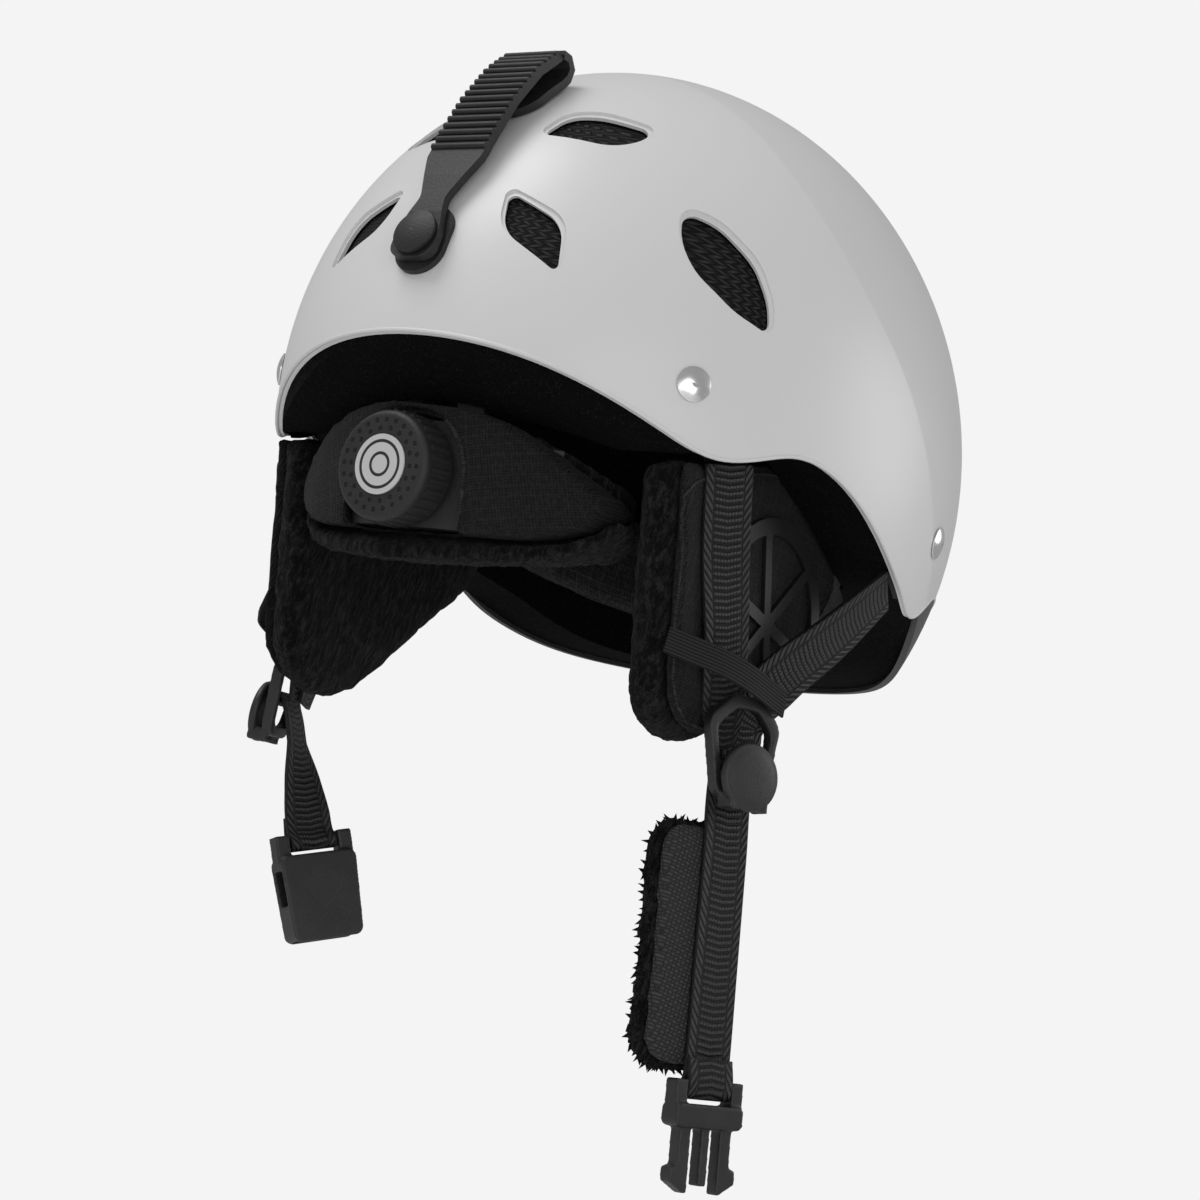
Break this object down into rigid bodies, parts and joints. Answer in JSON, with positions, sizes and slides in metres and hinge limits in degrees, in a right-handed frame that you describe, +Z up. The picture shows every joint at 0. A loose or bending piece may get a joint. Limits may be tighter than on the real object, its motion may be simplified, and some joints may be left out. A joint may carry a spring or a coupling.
{
  "type": "ski helmet",
  "caption": "Hard-shell snow helmet with foam liner, mesh vents, swinging ear flaps, dial fit ring, goggle strap retainer and buckled chin straps.",
  "frame": {"origin": "the middle of the head cavity, on the centre plane, at the level where the cavity is widest", "axes": "+Z up towards the crown, -Y forwards to the wearer's face, +X towards the wearer's left side"},
  "size_m": [0.2292, 0.2845, 0.3775],
  "materials": {
    "white_shell": "satin",
    "black_foam": "matte",
    "grey_edge_plastic": "satin",
    "knit_mesh": "matte",
    "rivet_metal": "satin",
    "washer_metal": "satin",
    "black_webbing": "matte",
    "ripstop_fabric": "matte",
    "fleece": "matte",
    "black_rubber": "matte",
    "black_plastic": "satin",
    "dark_snap_metal": "gloss",
    "light_disc_plastic": "satin",
    "nylon": "satin",
    "pad_foam": "matte"
  },
  "bodies": {
    "helmet": {"outer_shell": "white_shell", "eps_liner": "black_foam", "front_brim": "grey_edge_plastic", "vent_mesh_upper_left": "knit_mesh", "vent_mesh_upper_right": "knit_mesh", "vent_mesh_rear_left": "knit_mesh", "vent_mesh_rear_right": "knit_mesh", "vent_mesh_side_left": "knit_mesh", "vent_mesh_side_right": "knit_mesh", "vent_mesh_front_left": "knit_mesh", "vent_mesh_front_right": "knit_mesh", "vent_mesh_brow_left": "knit_mesh", "vent_mesh_brow_right": "knit_mesh", "strap_rivets": "rivet_metal", "rivet_washers": "washer_metal", "strap_end_rear_left": "black_webbing", "strap_end_rear_right": "black_webbing", "strap_end_front_left": "black_webbing", "strap_end_front_right": "black_webbing", "nape_pad": "ripstop_fabric", "nape_lining": "fleece", "retainer_anchor": "black_rubber", "retainer_base": "black_rubber", "dial_housing": "black_plastic", "retainer_rivets": "dark_snap_metal", "nape_cradle": "nylon", "fit_band": "nylon", "brow_pad": "pad_foam", "crown_pad": "pad_foam", "rear_pad": "pad_foam"},
    "dial": {"dial_knob": "black_rubber", "dial_disc": "light_disc_plastic", "dial_pinion": "nylon"},
    "fit_rack_left": {"fit_rack_left": "nylon"},
    "fit_rack_right": {"fit_rack_right": "nylon"},
    "goggle_retainer": {"retainer_strap": "black_rubber", "retainer_cap": "black_rubber"},
    "ear_flap_left": {"ear_flap_shell_left": "ripstop_fabric", "ear_flap_lining_left": "fleece", "ear_flap_badge_left": "black_rubber", "rear_webbing_left": "black_webbing", "front_webbing_left": "black_webbing", "flap_elastic_left": "black_webbing", "divider_frame_left": "black_plastic"},
    "divider_lever_left": {"divider_lever_left": "black_plastic"},
    "ear_flap_right": {"ear_flap_shell_right": "ripstop_fabric", "ear_flap_lining_right": "fleece", "ear_flap_badge_right": "black_rubber", "rear_webbing_right": "black_webbing", "front_webbing_right": "black_webbing", "flap_elastic_right": "black_webbing", "divider_frame_right": "black_plastic"},
    "divider_lever_right": {"divider_lever_right": "black_plastic"},
    "chin_strap_left": {"chin_strap_left": "black_webbing", "buckle_socket": "black_plastic"},
    "chin_strap_right": {"chin_strap_right": "black_webbing", "buckle_plug": "black_plastic", "chin_pad": "ripstop_fabric", "chin_pad_lining": "fleece"}
  },
  "joints": [
    {"name": "dial_turn", "type": "hinge", "parent": "helmet", "child": "dial", "pos_m": [0, 0.121, -0.07], "axis": [0, 0.9511, -0.309], "range_deg": [-146, 146]},
    {"name": "fit_band_left_travel", "type": "hinge", "parent": "helmet", "child": "fit_rack_left", "pos_m": [0, 0.0335, -0.04157], "axis": [0, -0.309, -0.9511], "range_deg": [-12, 12]},
    {"name": "fit_band_right_travel", "type": "hinge", "parent": "helmet", "child": "fit_rack_right", "pos_m": [0, 0.0335, -0.04157], "axis": [0, 0.309, 0.9511], "range_deg": [-12, 12]},
    {"name": "goggle_retainer_lift", "type": "hinge", "parent": "helmet", "child": "goggle_retainer", "pos_m": [0, 0.1202, 0.085], "axis": [1, 0, 0], "range_deg": [0, 90]},
    {"name": "ear_flap_right_swing", "type": "hinge", "parent": "helmet", "child": "ear_flap_right", "pos_m": [-0.0876, 0.068, -0.0376], "axis": [0.1961, 0.9803, -0.022], "range_deg": [0, 35], "stiffness_Nm_per_rad": 0.3, "springref_deg": -14.32},
    {"name": "divider_lever_right_lift", "type": "hinge", "parent": "ear_flap_right", "child": "divider_lever_right", "pos_m": [-0.1011, 0.01818, -0.13023], "axis": [-0.3618, -0.8956, 0.2588], "range_deg": [0, 80]},
    {"name": "chin_strap_right_swing", "type": "hinge", "parent": "ear_flap_right", "child": "chin_strap_right", "pos_m": [-0.09429, 0.01928, -0.1169], "axis": [-0.3618, -0.8956, 0.2588], "range_deg": [0, 35]},
    {"name": "ear_flap_left_swing", "type": "hinge", "parent": "helmet", "child": "ear_flap_left", "pos_m": [0.0876, 0.068, -0.0376], "axis": [0.1961, -0.9803, 0.022], "range_deg": [0, 35], "stiffness_Nm_per_rad": 0.3, "springref_deg": -14.32},
    {"name": "divider_lever_left_lift", "type": "hinge", "parent": "ear_flap_left", "child": "divider_lever_left", "pos_m": [0.1011, 0.01818, -0.13023], "axis": [-0.3618, 0.8956, -0.2588], "range_deg": [0, 80]},
    {"name": "chin_strap_left_swing", "type": "hinge", "parent": "ear_flap_left", "child": "chin_strap_left", "pos_m": [0.09429, 0.01928, -0.1169], "axis": [-0.3618, 0.8956, -0.2588], "range_deg": [-25, 30]}
  ],
  "couplings": [
    {"joint": "fit_band_left_travel", "follows": "dial_turn", "ratio": 0.081855},
    {"joint": "fit_band_right_travel", "follows": "dial_turn", "ratio": 0.081855}
  ]
}
